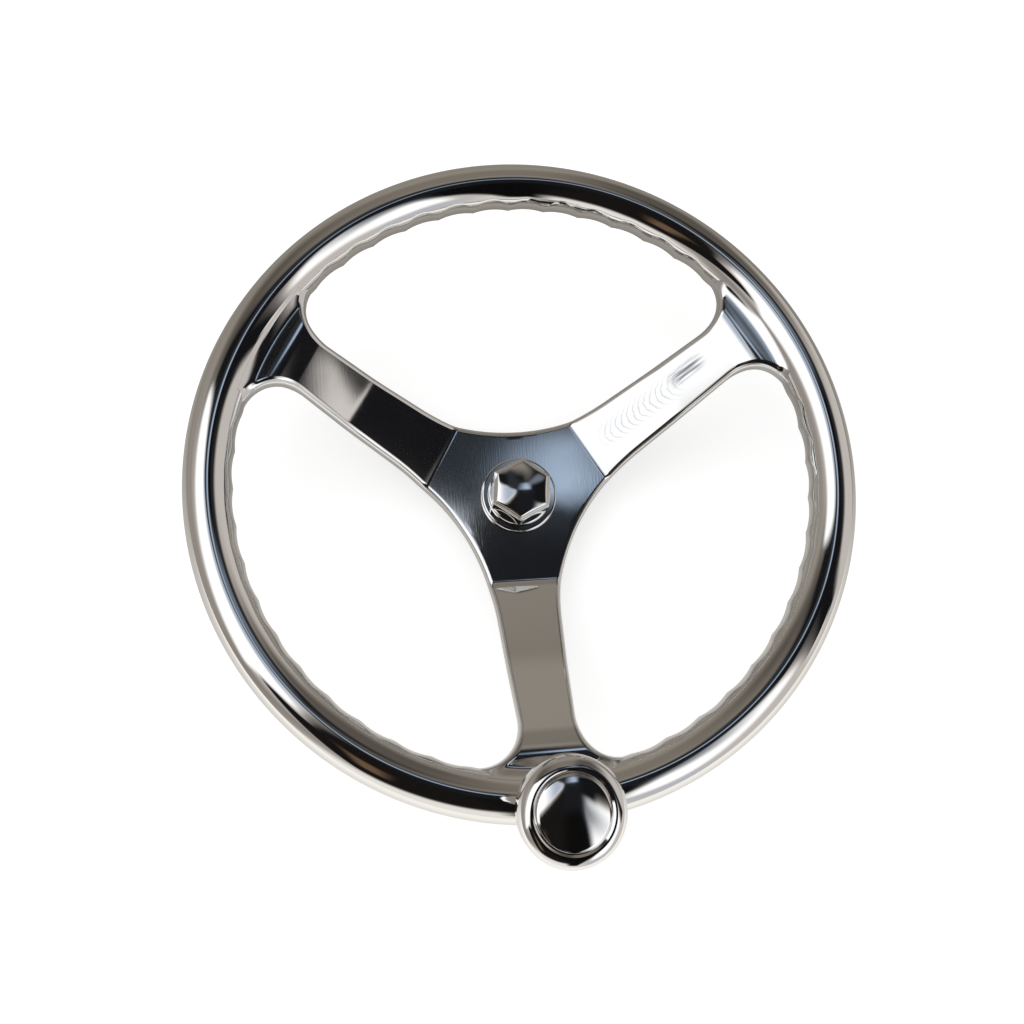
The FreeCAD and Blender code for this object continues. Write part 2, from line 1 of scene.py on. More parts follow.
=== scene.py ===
import json
import math

import bmesh
import bpy
import numpy as np
from mathutils import Euler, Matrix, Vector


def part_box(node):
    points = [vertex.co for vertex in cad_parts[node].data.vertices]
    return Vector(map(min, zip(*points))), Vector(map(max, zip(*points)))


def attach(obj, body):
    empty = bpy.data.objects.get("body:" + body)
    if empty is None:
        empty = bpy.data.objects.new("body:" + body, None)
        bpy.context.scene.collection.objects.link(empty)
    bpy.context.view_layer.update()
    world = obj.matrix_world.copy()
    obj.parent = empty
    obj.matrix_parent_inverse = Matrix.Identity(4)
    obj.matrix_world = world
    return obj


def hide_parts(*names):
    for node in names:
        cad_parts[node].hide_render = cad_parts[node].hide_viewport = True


# Boat steering wheel in polished stainless steel. Surfaces are worked out in millimetres in the
# frame of the solids: the hub's rear face is at height 0 and the knob's spoke points along -Y.
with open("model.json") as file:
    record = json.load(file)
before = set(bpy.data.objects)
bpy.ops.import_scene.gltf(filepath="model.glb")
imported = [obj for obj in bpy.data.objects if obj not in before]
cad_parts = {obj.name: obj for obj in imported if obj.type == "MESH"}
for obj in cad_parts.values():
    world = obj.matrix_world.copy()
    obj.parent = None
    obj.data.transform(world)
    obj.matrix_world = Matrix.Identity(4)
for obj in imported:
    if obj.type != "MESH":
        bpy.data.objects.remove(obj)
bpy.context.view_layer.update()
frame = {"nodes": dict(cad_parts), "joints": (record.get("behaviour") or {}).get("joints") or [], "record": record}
MM = 0.001
weld_distance = 0.000002

# Rim and its finger grips
rim_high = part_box("rim")[1]
grip_radius = 12.0
rim_radius = rim_high.x / MM - grip_radius
dish = rim_high.z / MM - grip_radius
finger_pitch = 20.7
finger_land = 2.0
finger_depth = 1.2
finger_reach = math.radians(75)
finger_lean = math.radians(45)
fingers_per_gap = 12
land_softness = 0.08
steps_per_finger = 21
steps_between_groups = 41
steps_round_tube = 72

# Casting: hub plate, folded spokes and shaft boss
spoke_count = 3
plate_thickness = 9.0
plate_front = 24.0
web_waist = 38.2
web_arc_radius = 118.0
neck_half_width = 14.3
flare_radius = 20.0
ring_radius = rim_radius - grip_radius + 0.6
lower_bend_at = 50.0
upper_bend_at = 133.0
lower_bend_radius = 8.0
upper_bend_radius = 15.0
slope_sag = 4.1
slope_sag_at = 95.0
slope_sag_radius = 100.0
spoke_edge_radius = 3.0
saddle_radius = 9.0
saddle_fade = 4.0
row_change = 8.0
boss_radius = 23.0
boss_root_radius = 4.0
boss_edge_radius = 1.5
shaft_radius = 9.525
pilot_radius = 8.75
taper_depth = 18.6
key_half_width = 2.38
key_reach = 11.925
half_gap = math.pi / spoke_count
edge_steps = 9
columns_across = 27
steps_down_wall = 4

# Hub washer and nut
washer_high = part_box("hub_washer")[1]
washer_radius = washer_high.x / MM
washer_top = washer_high.z / MM
washer_bore = 6.75
washer_edge = 1.2
nut_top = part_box("hub_nut")[1].z / MM
nut_apothem = 15.5
nut_collar_radius = 17.8
nut_collar_height = 2.6
collar_tuck = 2.0
nut_bevel = 3.0
nut_dome_radius = 110.0
nut_corner_radius = 0.7
nut_turn = math.radians(-6)
nut_edge_softness = 0.35
socket_radius = 6.35
socket_depth = 11.0
socket_chamfer = 1.0
socket_point = 3.8
wall_rounding = 0.6
crease_reach = 0.8

# Knob: base collar, shell and cap
knob_x, knob_y, _ = [value / MM for value in frame["joints"][0]["pos_m"]]
shell_low, shell_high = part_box("knob_shell")
shell_bottom, shell_top = shell_low.z / MM, shell_high.z / MM
cap_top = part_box("knob_cap")[1].z / MM
collar_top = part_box("knob_base_collar")[1].z / MM
belt_radius = shell_high.x / MM
collar_foot_radius = 9.5
collar_top_radius = 11.4
collar_edge = 0.8
collar_web = 2.6
collar_sink = 1.0
collar_bore = 7.05
post_bore = 4.8
shell_neck_radius = 13.2
neck_bend_rise = 6.8
belt_bend_rise = 22.8
neck_bend_radius = 18.0
belt_bend_radius = 20.0
shoulder_radius = 6.0
crown_radius = 18.2
crown_drop = 1.0
crown_edge_round = 0.25
seat_edge_round = 0.15
foot_edge_radius = 1.0
shell_lip = 9.58
shell_bore = 11.0
counterbore_radius = 14.5
counterbore_depth = 7.6
floor_height = 2.3
cap_radius = 16.0
cap_edge_height = 3.0
cap_dome_rise = 1.6
cap_edge_round = 0.5
cap_dome_inset = 0.65
cap_side_clearance = 0.05
cap_seat = cap_top - cap_dome_rise - cap_edge_height
spigot_radius = 14.45
spigot_wall = 1.8
spigot_length = 4.5
spigot_roof_drop = 1.6
turning_steps = 256


def rounded(corners, closed=True, steps=9, shoulder=0.15):
    """Line through corners (x, z, radius), each rounded by a tangent arc of even steps.

    A point a shoulder's length before and after each arc keeps the flats flat in shading."""
    places = np.array([corner[:2] for corner in corners], float)
    count = len(corners)
    pieces = []
    for index, (_, _, radius) in enumerate(corners):
        here = places[index]
        end = not closed and index in (0, count - 1)
        if radius == 0 or end:
            pieces.append(here[None])
            continue
        back, ahead = places[index - 1] - here, places[(index + 1) % count] - here
        back_length, ahead_length = np.linalg.norm(back), np.linalg.norm(ahead)
        back, ahead = back / back_length, ahead / ahead_length
        half = math.acos(np.clip(back @ ahead, -1, 1)) / 2
        reach = radius / math.tan(half)
        bisector = (back + ahead) / np.linalg.norm(back + ahead)
        centre = here + bisector * radius / math.sin(half)
        across = (ahead - back) / np.linalg.norm(ahead - back)
        sweep = np.linspace(-1, 1, steps)[:, None] * (math.pi / 2 - half)
        arc = centre + radius * (np.sin(sweep) * across - np.cos(sweep) * bisector)
        before = here + back * min(reach + shoulder, back_length)
        after = here + ahead * min(reach + shoulder, ahead_length)
        pieces.append(np.vstack([before, arc, after]))
    return np.vstack(pieces)


def turned(profile, centre=(0.0, 0.0), steps=192):
    """Profile of (radius, height) turned about the upright line at centre: cosine and sine of
    each even step, times the radius."""
    angle = np.linspace(0, 2 * np.pi, steps, endpoint=False)[:, None]
    radius, height = profile[:, 0][None], profile[:, 1][None]
    return np.stack([centre[0] + radius * np.cos(angle), centre[1] + radius * np.sin(angle),
                     height + 0 * angle], axis=-1)


def quads(rows, columns, wrap_rows=False, wrap_columns=False):
    """Corner numbers of the quads of a grid of points, wrapped round where it closes."""
    index = np.arange(rows * columns).reshape(rows, columns)
    if wrap_rows:
        index = np.vstack([index, index[:1]])
    if wrap_columns:
        index = np.hstack([index, index[:, :1]])
    return np.stack([index[:-1, :-1], index[1:, :-1], index[1:, 1:], index[:-1, 1:]],
                    axis=-1).reshape(-1, 4)


def new_object(name, data):
    """Object in the scene with this mesh, camera or lamp."""
    made = bpy.data.objects.new(name, data)
    bpy.context.scene.collection.objects.link(made)
    return made


def add_piece(name, grids, body, stands_for, material, sharp_angle=35):
    """One smooth mesh from grids of points, given as (grid, wrap rows, wrap columns)."""
    points, faces, start = [], [], 0
    for grid, wrap_rows, wrap_columns in grids:
        rows, columns = grid.shape[:2]
        points.append(grid.reshape(-1, 3))
        faces.append(quads(rows, columns, wrap_rows, wrap_columns) + start)
        start += rows * columns
    mesh = bpy.data.meshes.new(name)
    mesh.from_pydata(np.vstack(points) * MM, [], np.vstack(faces).tolist())
    shape = bmesh.new()
    shape.from_mesh(mesh)
    bmesh.ops.remove_doubles(shape, verts=shape.verts, dist=weld_distance)
    bmesh.ops.recalc_face_normals(shape, faces=shape.faces)
    shape.to_mesh(mesh)
    shape.free()
    mesh.shade_smooth()
    mesh.set_sharp_from_angle(angle=math.radians(sharp_angle))
    mesh.materials.append(material)
    piece = new_object(name, mesh)
    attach(piece, body)
    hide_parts(stands_for)


def soft_lower(first, second, softness):
    """The lower of two heights, with the crease between them rounded."""
    return (first + second - np.sqrt((first - second) ** 2 + softness ** 2)) / 2


# Rim


def rim_stations():
    """Angles round the wheel, and for each the angle of the nearest finger grip's middle.

    Every grip has even steps between its two ends, and the plain tube between two groups of
    grips has wider ones."""
    step = finger_pitch / rim_radius
    dent = (finger_pitch - finger_land) / rim_radius
    local = np.append(-step / 2, np.linspace(-dent / 2, dent / 2, steps_per_finger))
    fingers = (np.arange(fingers_per_gap) - (fingers_per_gap - 1) / 2) * step
    group = (fingers[:, None] + local[None]).ravel()
    nearest = np.repeat(fingers, local.size)
    edge = fingers_per_gap * step / 2
    plain = np.linspace(edge, 2 * half_gap - edge, steps_between_groups)[:-1]
    angle = np.concatenate([group, plain])
    nearest = np.concatenate([nearest, np.full(plain.size, fingers[-1])])
    middles = -np.pi / 2 + (2 * np.arange(spoke_count) + 1) * half_gap
    return (middles[:, None] + angle[None]).ravel(), (middles[:, None] + nearest[None]).ravel()


def rim_surface():
    """Tube with pressed finger grips.

    The section's radius is the lower of the plain tube and of the pressing ring. The ring turns
    about a line beside the tube's middle line, and its own radius follows a shallow arc along
    the tube, so each grip fades out round the tube and towards its ends."""
    angle, nearest = [value[:, None] for value in rim_stations()]
    around = np.linspace(0, 2 * np.pi, steps_round_tube, endpoint=False)[None]
    shift = finger_depth / (1 - math.cos(finger_reach))
    half_width = (finger_pitch - finger_land) / 2
    arc_radius = (half_width ** 2 + finger_depth ** 2) / (2 * finger_depth)
    inner = rim_radius + grip_radius * np.cos(around)
    past_grip, widest_turn = 1.5 * half_width, 0.1
    along = np.clip(inner * np.sin(angle - nearest), -past_grip, past_grip)
    sagitta = rim_radius * (1 - np.cos(np.clip(angle - nearest, -widest_turn, widest_turn)))
    ring = grip_radius + shift - finger_depth + arc_radius - np.sqrt(arc_radius ** 2 - along ** 2)
    axis_out = shift * math.cos(finger_lean) + sagitta
    axis_up = shift * math.sin(finger_lean)
    toward = axis_out * np.cos(around) + axis_up * np.sin(around)
    pressed = toward + np.sqrt(ring ** 2 - axis_out ** 2 - axis_up ** 2 + toward ** 2)
    radius = soft_lower(pressed, grip_radius, land_softness)
    out = rim_radius + radius * np.cos(around)
    return np.stack([out * np.cos(angle), out * np.sin(angle), dish + radius * np.sin(around)], -1)


# Casting


def spoke_outline():
    """Half outline of a spoke along +X, all tangent: the centres of the web's arc and of the
    flare's arc, and the way square to the straight side between them."""
    web_centre = (web_waist + web_arc_radius) * np.array([math.cos(half_gap), math.sin(half_gap)])
    flare_y = neck_half_width + flare_radius
    flare_centre = np.array([math.sqrt((ring_radius - flare_radius) ** 2 - flare_y ** 2), flare_y])
    span = web_centre - flare_centre
    swing = math.acos((web_arc_radius - flare_radius) / np.linalg.norm(span))
    lean = math.atan2(span[1], span[0])
    sides = [np.array([math.cos(a), math.sin(a)]) for a in (lean - swing, lean + swing)]
    return web_centre, flare_centre, max(sides, key=lambda side: side[1])


def edge_distance(x, y):
    """Distance in plan from the spoke's outline, positive on the metal: from the web's arc, the
    straight side or the flare's arc, whichever lies beside the point."""
    web_centre, flare_centre, side = spoke_outline()
    y = np.abs(y)
    web_end = web_centre - side * web_arc_radius
    flare_start = flare_centre - side * flare_radius
    length = np.linalg.norm(flare_start - web_end)
    way = (flare_start - web_end) / length
    along = (x - web_end[0]) * way[0] + (y - web_end[1]) * way[1]
    web = np.hypot(x - web_centre[0], y - web_centre[1]) - web_arc_radius
    line = (web_end[0] - x) * side[0] + (web_end[1] - y) * side[1]
    flare = np.hypot(x - flare_centre[0], y - flare_centre[1]) - flare_radius
    return np.where(along < 0, web, np.where(along > length, flare, line))


def side_line(corners, radii, x):
    """Height at x of a line through the corners, rounded at each by a tangent arc."""
    height = np.interp(x, corners[:, 0], corners[:, 1])
    for before, here, after, radius in zip(corners, corners[1:], corners[2:], radii):
        back, ahead = (before - here), (after - here)
        back, ahead = back / np.linalg.norm(back), ahead / np.linalg.norm(ahead)
        half = math.acos(np.clip(back @ ahead, -1, 1)) / 2
        reach = radius / math.tan(half)
        centre = here + (back + ahead) / np.linalg.norm(back + ahead) * radius / math.sin(half)
        upward = math.copysign(1, centre[1] - here[1])
        arc = centre[1] - upward * np.sqrt(np.maximum(radius ** 2 - (x - centre[0]) ** 2, 0))
        inside = (x > here[0] + back[0] * reach) & (x < here[0] + ahead[0] * reach)
        height = np.where(inside, arc, height)
    return height


def face_lines():
    """Corners and radii of the front and back faces seen from the side, a plate apart.

    Each back corner lies where the two offset lines meet."""
    end_front = dish + plate_thickness / 2
    steepness = (end_front - plate_front) / (upper_bend_at - lower_bend_at)
    sag_front = plate_front + steepness * (slope_sag_at - lower_bend_at) - slope_sag
    front = np.array([(0, plate_front), (lower_bend_at, plate_front), (slope_sag_at, sag_front),
                      (upper_bend_at, end_front), (rim_radius, end_front)])
    ways = np.diff(front, axis=0)
    ways = ways / np.linalg.norm(ways, axis=1)[:, None]
    square = np.stack([ways[:, 1], -ways[:, 0]], axis=1)
    mitre = (square[:-1] + square[1:]) / (1 + (square[:-1] * square[1:]).sum(1))[:, None]
    back = front + plate_thickness * np.vstack([square[:1], mitre, square[-1:]])
    front_radii = (lower_bend_radius, slope_sag_radius, upper_bend_radius + plate_thickness)
    back_radii = (lower_bend_radius + plate_thickness, slope_sag_radius + plate_thickness,
                  upper_bend_radius)
    return (front, front_radii), (back, back_radii)


def face_heights(x):
    """Heights of the front and back faces at x along a spoke, read off their rounded lines."""
    return [side_line(corners, radii, x) for corners, radii in face_lines()]


def slope_stretch(x, which):
    """How much longer an upright step is than one square to the face: 1 / cos of the slope."""
    small = 0.01
    rise = face_heights(x + small)[which] - face_heights(x - small)[which]
    return np.sqrt(1 + (rise / (2 * small)) ** 2)


def row_curve(row):
    """1 where a row is an arc about the hub, 0 where it runs straight across the spoke."""
    leave = np.clip((row - web_waist) / row_change, 0, 1)
    enter = np.clip((row - upper_bend_at) / row_change, 0, 1)
    return 1 - leave * leave * (3 - 2 * leave) + enter * enter * (3 - 2 * enter)


def row_x(row, y):
    """Place along the spoke of a row's point: the root of the row squared less its curve times
    y squared."""
    return np.sqrt(np.maximum(row ** 2 - row_curve(row) * y ** 2, 0))


def row_reach(row, inset):
    """How far a row runs sideways until it is the inset away from the outline, by halving."""
    halvings = 40
    flare_centre = spoke_outline()[1]
    joint = math.tan(half_gap)
    tip = flare_centre[1] / flare_centre[0]
    steepest = np.where(row < (web_waist + upper_bend_at) / 2, joint, tip)
    high = row * steepest / np.sqrt(1 + row_curve(row) * steepest ** 2)
    low = 0 * high
    for _ in range(halvings):
        middle = (low + high) / 2
        inside = edge_distance(row_x(row, middle), middle) > inset
        low, high = np.where(inside, middle, low), np.where(inside, high, middle)
    return low


def saddle_start():
    """Distance from the hub where the blend onto the rim's tube leaves the face: its arc touches
    both the tube and the face."""
    height = plate_thickness / 2 + saddle_radius
    return rim_radius - math.sqrt((grip_radius + saddle_radius) ** 2 - height ** 2)


def spoke_rows():
    """Distances of the rows from the hub, close together where the faces curve."""
    edge = np.sin(np.linspace(0, np.pi / 2, edge_steps))
    lower_from, lower_to = lower_bend_at - 3.5, lower_bend_at + 9
    upper_from, upper_to = upper_bend_at - 11, upper_bend_at + 9
    inside_tube = rim_radius - saddle_radius + 0.1
    return np.concatenate([
        np.linspace(pilot_radius, web_waist - spoke_edge_radius, 12, endpoint=False),
        web_waist - spoke_edge_radius + spoke_edge_radius * edge,
        web_waist + row_change * np.linspace(0, 1, 16)[1:] ** 2,
        np.linspace(lower_from, lower_to, 26),
        np.linspace(lower_to, upper_from, 48)[1:-1],
        np.linspace(upper_from, upper_to, 36),
        np.linspace(upper_to, saddle_start(), 4)[1:-1],
        np.linspace(saddle_start(), inside_tube, 20),
    ])


def spoke_face(side):
    """Front (side 1) or back (side -1) of one spoke and its third of the plate, along +X.

    Rows run across, arcs near the hub and the rim and straight between. Columns keep a set
    distance from the outline at both edges, where the height drops by a quarter circle. Near
    the rim the height rises by an arc that leaves the face and touches the tube."""
    rows = spoke_rows()[:, None]
    quarter = np.linspace(np.pi / 2, 0, edge_steps + 1)[None]
    onto_flat = spoke_edge_radius + 0.3
    insets = np.append(spoke_edge_radius * (1 - np.sin(quarter)), onto_flat)[None]
    on_plate = np.maximum(rows, web_waist)
    edges = row_reach(on_plate + 0 * insets, insets + 0 * on_plate)
    inner = edges[:, -1:] * np.linspace(-1, 1, columns_across)[None, 1:-1]
    y = np.hstack([edges, inner[:, ::-1], -edges[:, ::-1]])
    x = row_x(on_plate, y)
    shrink = np.minimum(rows, web_waist) / np.minimum(on_plate, web_waist)
    x, y = x * shrink, y * shrink
    away = edge_distance(x, y)
    inset = np.clip(spoke_edge_radius - away, 0, spoke_edge_radius)
    drop = spoke_edge_radius - np.sqrt(spoke_edge_radius ** 2 - inset ** 2)
    onto = np.clip(np.hypot(x, y) - saddle_start(), 0, saddle_radius)
    rise = saddle_radius - np.sqrt(saddle_radius ** 2 - onto ** 2)
    fade = np.clip(away / saddle_fade, 0, 1)
    rise = rise * fade * fade * (3 - 2 * fade)
    which = 0 if side > 0 else 1
    face = face_heights(x)[which]
    z = face + side * (rise - drop * slope_stretch(x, which))
    return np.stack([x, y, z], axis=-1)


def turn(grid, angle):
    """The grid turned about the upright axis."""
    x, y, z = grid[..., 0], grid[..., 1], grid[..., 2]
    return np.stack([x * math.cos(angle) - y * math.sin(angle),
                     x * math.sin(angle) + y * math.cos(angle), z], axis=-1)


def spoke_sheets():
    """All faces and side walls of the three spokes. Each wall joins the ends of two rows."""
    front, back = spoke_face(1), spoke_face(-1)
    outer = spoke_rows() >= web_waist - 1e-6
    across = np.linspace(0, 1, steps_down_wall)[None, :, None]
    sheets = [front, back]
    for column in (0, -1):
        top, bottom = front[outer][:, column][:, None], back[outer][:, column][:, None]
        sheets.append(top + (bottom - top) * across)
    sheets.append(np.stack([front[-1], back[-1]], axis=0))
    for number in range(spoke_count):
        for sheet in sheets:
            yield turn(sheet, -math.pi / 2 + number * 2 * half_gap)


def shaft_hole(angle, radius):
    """Radius of the bored hole with its keyway: the larger of a circle and a slot towards +Y."""
    off = np.abs((angle - math.pi / 2 + math.pi) % (2 * math.pi) - math.pi)
    slot = np.minimum(key_reach / np.maximum(np.cos(off), 1e-3),
                      key_half_width / np.maximum(np.sin(off), 1e-3))
    slot = np.where(off < math.pi / 2, slot, 0)
    return np.maximum(radius, slot)


def boss_surface():
    """Shaft boss from the hole's front end, down the taper, over the rear face to the plate.

    Each ring is a closed line round the axis: the keyed hole inside, circles outside."""
    key_floor, key_side = 9, 18
    past_root, into_plate = 0.6, 0.2
    corner = np.linspace(key_floor, key_side, 37)
    floor_marks = np.linspace(90 - key_floor, 90 + key_floor, 13)
    marks = np.concatenate([90 - corner, 90 + corner, floor_marks, np.arange(0, 360, 3.0)])
    angle = np.radians(np.unique(marks))[:, None]
    hole_heights = np.array([[plate_front, taper_depth, taper_depth, 0.0]])
    hole_radii = np.array([[pilot_radius, pilot_radius, pilot_radius, shaft_radius]])
    quarter = np.linspace(0, np.pi / 2, edge_steps)
    plate_back = plate_front - plate_thickness
    outer = np.vstack([
        np.stack([boss_radius - boss_edge_radius * (1 - np.sin(quarter)),
                  boss_edge_radius * (1 - np.cos(quarter))], axis=-1),
        np.stack([boss_radius + boss_root_radius * (1 - np.cos(quarter)),
                  plate_back - boss_root_radius * (1 - np.sin(quarter))], axis=-1),
        [[boss_radius + boss_root_radius + past_root, plate_back + into_plate]],
    ])
    radius = np.hstack([shaft_hole(angle, hole_radii), outer[:, 0][None] + 0 * angle])
    height = np.hstack([hole_heights + 0 * angle, outer[:, 1][None] + 0 * angle])
    return np.stack([radius * np.cos(angle), radius * np.sin(angle), height], axis=-1)


# Hub nut


def hexagon_radius(angle, apothem, corner):
    """Polar radius of a hexagon with rounded corners and two flats facing +X and -X."""
    off = (angle + math.pi / 6) % (math.pi / 3) - math.pi / 6
    flat = apothem / np.cos(off)
    middle = (apothem - corner) / math.cos(math.pi / 6)
    beside = math.pi / 6 - np.abs(off)
    room = corner ** 2 - (middle * np.sin(beside)) ** 2
    arc = middle * np.cos(beside) + np.sqrt(np.maximum(room, 0))
    return np.where(room > 0, np.minimum(flat, arc), flat)


def nut_crown():
    """Hexagonal part: rings of one hexagon that first climb the wall, then close over the top.

    Over the top the height is the soft lower of the bevel and of the dome."""
    spread = np.sin(np.linspace(-np.pi / 2, np.pi / 2, 27)[:-1]) * math.pi / 6
    angle = (np.arange(6)[:, None] * math.pi / 3 + spread[None]).ravel()[:, None]
    wall_low = washer_top + nut_collar_height - 0.4
    bevel_at = nut_top - nut_bevel
    wall = rounded([(nut_apothem, wall_low, 0), (nut_apothem, bevel_at, wall_rounding),
                    (nut_apothem - 1, bevel_at + 1, 0)], closed=False)[:-1]
    dome_drop = 0.9
    crease = nut_apothem - nut_bevel + dome_drop
    bevel_rings = np.linspace(nut_apothem - 0.35, crease + 0.9, 5)
    crease_rings = np.linspace(crease + crease_reach, crease - crease_reach, 24)
    dome_rings = np.linspace(crease - 1, 0, 16)
    apothem = np.concatenate([bevel_rings, crease_rings, dome_rings])[None]
    radius = hexagon_radius(angle, apothem, nut_corner_radius * apothem / nut_apothem)
    bevel = bevel_at + nut_apothem - apothem
    dome = nut_top - nut_dome_radius + np.sqrt(nut_dome_radius ** 2 - radius ** 2)
    top = soft_lower(bevel + 0 * angle, dome, nut_edge_softness)
    wall_radius = hexagon_radius(angle, wall[:, 0][None], nut_corner_radius)
    radius = np.hstack([wall_radius, radius])
    height = np.hstack([wall[:, 1][None] + 0 * angle, top])
    return turn(np.stack([radius * np.cos(angle), radius * np.sin(angle), height], -1), nut_turn)


def nut_collar():
    """Collar under the hexagon, with the nut's blind threaded socket: a line up the socket's
    cone and wall, out over the foot and up the rounded edge, turned about the shaft's axis."""
    collar_top_height = washer_top + nut_collar_height
    return turned(rounded([
        (0, washer_top + socket_depth + socket_point, 0),
        (socket_radius, washer_top + socket_depth, 0),
        (socket_radius, washer_top + socket_chamfer, 0),
        (socket_radius + socket_chamfer, washer_top, 0),
        (nut_collar_radius, washer_top, 0),
        (nut_collar_radius, collar_top_height, washer_edge),
        (nut_apothem - collar_tuck, collar_top_height, 0),
    ], closed=False))


def washer_surface():
    """Washer: a rectangle whose outer upper corner is rounded, turned about the shaft's axis."""
    return turned(rounded([
        (washer_bore, plate_front, 0),
        (washer_radius, plate_front, 0),
        (washer_radius, washer_top, washer_edge),
        (washer_bore, washer_top, 0),
    ]))


# Knob


def collar_surface():
    """Collar between the rim and the knob: a cone that stands with its foot inside the tube,
    turned about the knob's axis."""
    foot = dish + math.sqrt(grip_radius ** 2 - collar_foot_radius ** 2) - collar_sink
    web = collar_top - collar_web
    return turned(rounded([
        (collar_bore, foot, 0),
        (collar_foot_radius, foot, 0),
        (collar_top_radius, collar_top, collar_edge),
        (post_bore, collar_top, 0),
        (post_bore, web, 0),
        (collar_bore, web, 0),
    ]), (knob_x, knob_y))


def shell_surface():
    """Knob shell: neck, belt, shoulder and crown outside, seat and bearing bore inside, one
    line of straight parts and tangent arcs turned about the knob's axis."""
    seat = cap_radius + cap_side_clearance
    ledge = cap_seat - counterbore_depth
    return turned(rounded([
        (shell_lip, shell_bottom, 0),
        (shell_neck_radius, shell_bottom, foot_edge_radius),
        (shell_neck_radius, shell_bottom + neck_bend_rise, neck_bend_radius),
        (belt_radius, shell_bottom + belt_bend_rise, belt_bend_radius),
        (belt_radius, shell_top, shoulder_radius),
        (crown_radius, shell_top, crown_edge_round),
        (seat, shell_top - crown_drop, seat_edge_round),
        (seat, cap_seat, 0),
        (counterbore_radius, cap_seat, 0),
        (counterbore_radius, ledge, 0),
        (shell_bore, ledge, 0),
        (shell_bore, shell_bottom + floor_height, 0),
        (shell_lip, shell_bottom + floor_height, 0),
    ], steps=24, shoulder=0.1), (knob_x, knob_y), turning_steps)


def cap_surface():
    """Domed cap: hollow spigot, round edge and over it a shallow part of a sphere, turned about
    the knob's axis."""
    edge_top = cap_seat + cap_edge_height
    inner = spigot_radius - spigot_wall
    skirt = rounded([
        (0, cap_seat + cap_dome_rise, 0),
        (inner, edge_top - spigot_roof_drop, 0),
        (inner, cap_seat - spigot_length, 0),
        (spigot_radius, cap_seat - spigot_length, 0),
        (spigot_radius, cap_seat, 0),
        (cap_radius, cap_seat, 0),
        (cap_radius, edge_top, cap_edge_round),
        (cap_radius - 1.2, edge_top, 0),
    ], closed=False)[:-2]
    sphere = (cap_radius ** 2 + cap_dome_rise ** 2) / (2 * cap_dome_rise)
    radius = np.linspace(cap_radius - cap_dome_inset, 0, 24)
    dome = edge_top + cap_dome_rise - sphere + np.sqrt(sphere ** 2 - radius ** 2)
    profile = np.vstack([skirt, np.stack([radius, dome], axis=-1)])
    return turned(profile, (knob_x, knob_y), turning_steps)


# Shader nodes


def feed(tree, node, inputs):
    """Gives a node its inputs, each a number, a colour or another node's output."""
    for key, value in inputs.items():
        if isinstance(value, bpy.types.NodeSocket):
            tree.links.new(value, node.inputs[key])
        else:
            node.inputs[key].default_value = value


def add_node(tree, kind, inputs=None, **settings):
    """One node with its settings and inputs."""
    node = tree.nodes.new(kind)
    for key, value in settings.items():
        setattr(node, key, value)
    feed(tree, node, inputs or {})
    return node


def maths(tree, operation, first, second=0.0, third=0.0):
    """Result of one operation on numbers or on other nodes' outputs."""
    node = add_node(tree, "ShaderNodeMath", {0: first, 1: second, 2: third}, operation=operation)
    return node.outputs[0]


def noise(tree, place, scale, detail, roughness=0.5):
    """Noise from 0 to 1 that changes about as many times a metre as the scale says."""
    return add_node(tree, "ShaderNodeTexNoise", {
        "Vector": place, "Scale": scale, "Detail": detail, "Roughness": roughness}).outputs["Fac"]


def soft_step(tree, value, start, end, low=0.0, high=1.0):
    """Low where the value is at the start, high where it is at the end, and smooth between."""
    return add_node(tree, "ShaderNodeMapRange", {
        "Value": value, "From Min": start, "From Max": end, "To Min": low, "To Max": high},
        interpolation_type="SMOOTHSTEP").outputs["Result"]


def blend(tree, factor, first, second):
    """The first colour where the factor is 0 and the second where it is 1."""
    return add_node(tree, "ShaderNodeMix", {"Factor": factor, "A": first, "B": second},
                    data_type="RGBA").outputs["Result"]


def new_group(name, inputs, outputs):
    """Node group with inputs (name, kind, default) and outputs (name, kind)."""
    group = bpy.data.node_groups.new(name, "ShaderNodeTree")
    for socket, kind, value in inputs:
        made = group.interface.new_socket(socket, in_out="INPUT", socket_type="NodeSocket" + kind)
        if value is not None:
            made.default_value = value
    for socket, kind in outputs:
        group.interface.new_socket(socket, in_out="OUTPUT", socket_type="NodeSocket" + kind)
    entry = group.nodes.new("NodeGroupInput")
    leave = group.nodes.new("NodeGroupOutput")
    return group, entry, leave


def polish_group():
    """Slow waves that hand polishing leaves, and faint smears that dull it here and there."""
    group, entry, leave = new_group(
        "hand_polish",
        [("Place", "Vector", None), ("Waves per metre", "Float", 30.0),
         ("Smear", "Float", 0.02), ("Gloss", "Float", 0.05)],
        [("Height", "Float"), ("Roughness", "Float")])
    place = entry.outputs["Place"]
    waves = noise(group, place, entry.outputs["Waves per metre"], detail=1.0, roughness=0.4)
    smears = noise(group, place, scale=55.0, detail=4.0, roughness=0.65)
    dulled = maths(group, "MULTIPLY_ADD", smears, entry.outputs["Smear"], entry.outputs["Gloss"])
    feed(group, leave, {"Height": waves, "Roughness": dulled})
    return group


